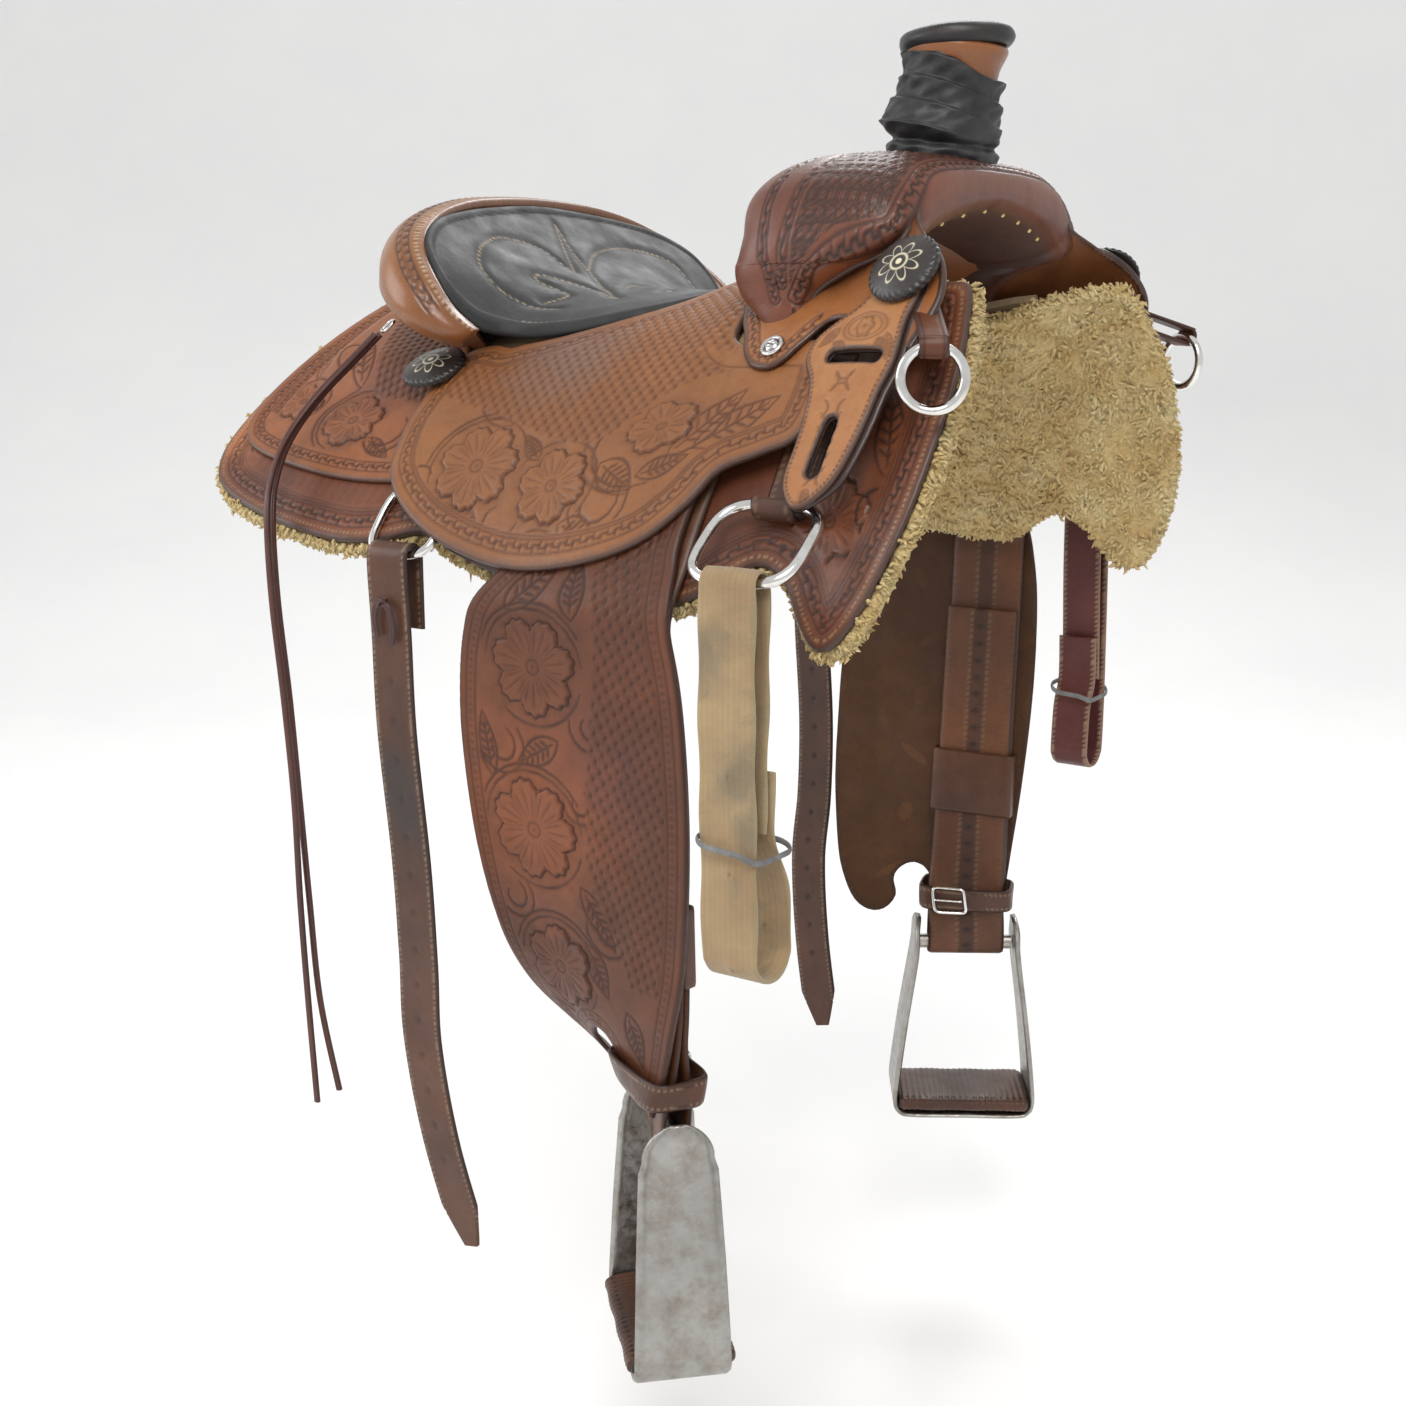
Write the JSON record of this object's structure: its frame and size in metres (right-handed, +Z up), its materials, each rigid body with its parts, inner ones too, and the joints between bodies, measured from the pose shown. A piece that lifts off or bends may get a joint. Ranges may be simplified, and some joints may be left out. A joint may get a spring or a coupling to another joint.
{
  "type": "western saddle",
  "caption": "Western stock saddle with tooled leather skirts, padded seat, wrapped horn, fenders, stirrups, rigging rings, billets and sheepskin lining.",
  "frame": {"origin": "on the centre plane where the horse's back or a stand carries the saddle, 30 mm under the lining's top line in mid seat", "axes": "+X forward to the horn, +Y to the saddle's left side, +Z up"},
  "size_m": [0.6719, 0.6558, 0.9747],
  "materials": {
    "saddle_leather": "tooled and oiled",
    "dark_leather": "oiled",
    "black_leather": "smooth",
    "burgundy_leather": "waxed",
    "rawhide": "dry",
    "sheepskin": "wool",
    "rubber": "matte",
    "chrome": "polished",
    "cast_aluminium": "satin",
    "nylon_webbing": "woven"
  },
  "bodies": {
    "saddle": {"breast_chafe_left": "saddle_leather", "breast_chafe_right": "saddle_leather", "cantle_back": "saddle_leather", "cantle_roll": "saddle_leather", "concho_front_left": "black_leather", "concho_front_right": "black_leather", "concho_rear_left": "black_leather", "concho_rear_right": "black_leather", "fleece_left": "sheepskin", "fleece_right": "sheepskin", "front_rigging_strap_left": "saddle_leather", "front_rigging_strap_right": "saddle_leather", "ground_seat": "rawhide", "horn_cap": "black_leather", "horn_neck_leather": "saddle_leather", "horn_post": "rawhide", "horn_wrap": "rubber", "latigo_keeper_left": "saddle_leather", "latigo_keeper_right": "saddle_leather", "rear_jockey_left": "saddle_leather", "rear_jockey_right": "saddle_leather", "rear_rigging_ring_left": "chrome", "rear_rigging_ring_right": "chrome", "saddle_string_inner_right": "burgundy_leather", "saddle_string_outer_right": "burgundy_leather", "seat_leather": "saddle_leather", "seat_pad": "black_leather", "skirt_left": "saddle_leather", "skirt_right": "saddle_leather", "string_clip_left": "chrome", "string_clip_right": "chrome", "swell_cover": "saddle_leather", "swell_screw_left": "chrome", "swell_screw_right": "chrome", "tree_bar_left": "rawhide", "tree_bar_right": "rawhide", "tree_cantle": "rawhide", "tree_fork": "rawhide"},
    "leathers_right": {"fender_right": "saddle_leather", "stirrup_leather_right": "dark_leather", "hobble_strap_right": "saddle_leather"},
    "stirrup_right": {"stirrup_frame_right": "cast_aluminium", "stirrup_tread_right": "saddle_leather", "stirrup_roller_right": "chrome"},
    "front_ring_right": {"front_rigging_ring_right": "chrome"},
    "rear_billet_right": {"rear_billet_right": "dark_leather"},
    "breast_ring_right": {"breast_dee_right": "chrome"},
    "leathers_left": {"fender_left": "saddle_leather", "stirrup_leather_left": "dark_leather", "hobble_strap_left": "saddle_leather"},
    "stirrup_left": {"stirrup_frame_left": "cast_aluminium", "stirrup_tread_left": "saddle_leather", "stirrup_roller_left": "chrome"},
    "front_ring_left": {"front_rigging_ring_left": "chrome"},
    "rear_billet_left": {"rear_billet_left": "dark_leather"},
    "breast_ring_left": {"breast_dee_left": "chrome"},
    "off_billet": {"off_billet_right": "nylon_webbing", "off_billet_band_right": "rubber"},
    "latigo": {"latigo_left": "burgundy_leather", "latigo_band_left": "rubber"}
  },
  "joints": [
    {"name": "leathers_swing_right", "type": "hinge", "parent": "saddle", "child": "leathers_right", "pos_m": [0.1095, -0.15, 0.02], "axis": [0, -1, 0], "range_deg": [-2, 35], "deforming": ["fender_right", "stirrup_leather_right"]},
    {"name": "stirrup_tilt_right", "type": "hinge", "parent": "leathers_right", "child": "stirrup_right", "pos_m": [0.12521, -0.25201, -0.537], "axis": [0.7071, -0.7071, 0], "range_deg": [-25, 40]},
    {"name": "front_ring_swing_right", "type": "hinge", "parent": "saddle", "child": "front_ring_right", "pos_m": [0.214, -0.24649, -0.06576], "axis": [-1, 0, 0], "range_deg": [0, 35]},
    {"name": "rear_billet_swing_right", "type": "hinge", "parent": "saddle", "child": "rear_billet_right", "pos_m": [-0.089, -0.29557, -0.11644], "axis": [-1, 0, 0], "range_deg": [0, 50]},
    {"name": "breast_ring_swing_right", "type": "hinge", "parent": "saddle", "child": "breast_ring_right", "pos_m": [0.316, -0.226, 0.0395], "axis": [-0.8924, -0.4512, 0], "range_deg": [0, 80]},
    {"name": "leathers_swing_left", "type": "hinge", "parent": "saddle", "child": "leathers_left", "pos_m": [0.1095, 0.15, 0.02], "axis": [0, -1, 0], "range_deg": [-2, 35], "deforming": ["fender_left", "stirrup_leather_left"]},
    {"name": "stirrup_tilt_left", "type": "hinge", "parent": "leathers_left", "child": "stirrup_left", "pos_m": [0.12352, 0.25066, -0.537], "axis": [0.848, 0.5299, 0], "range_deg": [-25, 40]},
    {"name": "front_ring_swing_left", "type": "hinge", "parent": "saddle", "child": "front_ring_left", "pos_m": [0.214, 0.24649, -0.06576], "axis": [1, 0, 0], "range_deg": [0, 35]},
    {"name": "rear_billet_swing_left", "type": "hinge", "parent": "saddle", "child": "rear_billet_left", "pos_m": [-0.089, 0.29557, -0.11644], "axis": [1, 0, 0], "range_deg": [0, 50]},
    {"name": "breast_ring_swing_left", "type": "hinge", "parent": "saddle", "child": "breast_ring_left", "pos_m": [0.316, 0.226, 0.0395], "axis": [0.8924, -0.4512, 0], "range_deg": [0, 80]},
    {"name": "off_billet_swing", "type": "hinge", "parent": "front_ring_right", "child": "off_billet", "pos_m": [0.214, -0.30265, -0.11082], "axis": [-1, 0, 0], "range_deg": [0, 50]},
    {"name": "latigo_swing", "type": "hinge", "parent": "front_ring_left", "child": "latigo", "pos_m": [0.214, 0.30265, -0.11082], "axis": [1, 0, 0], "range_deg": [0, 50]}
  ]
}
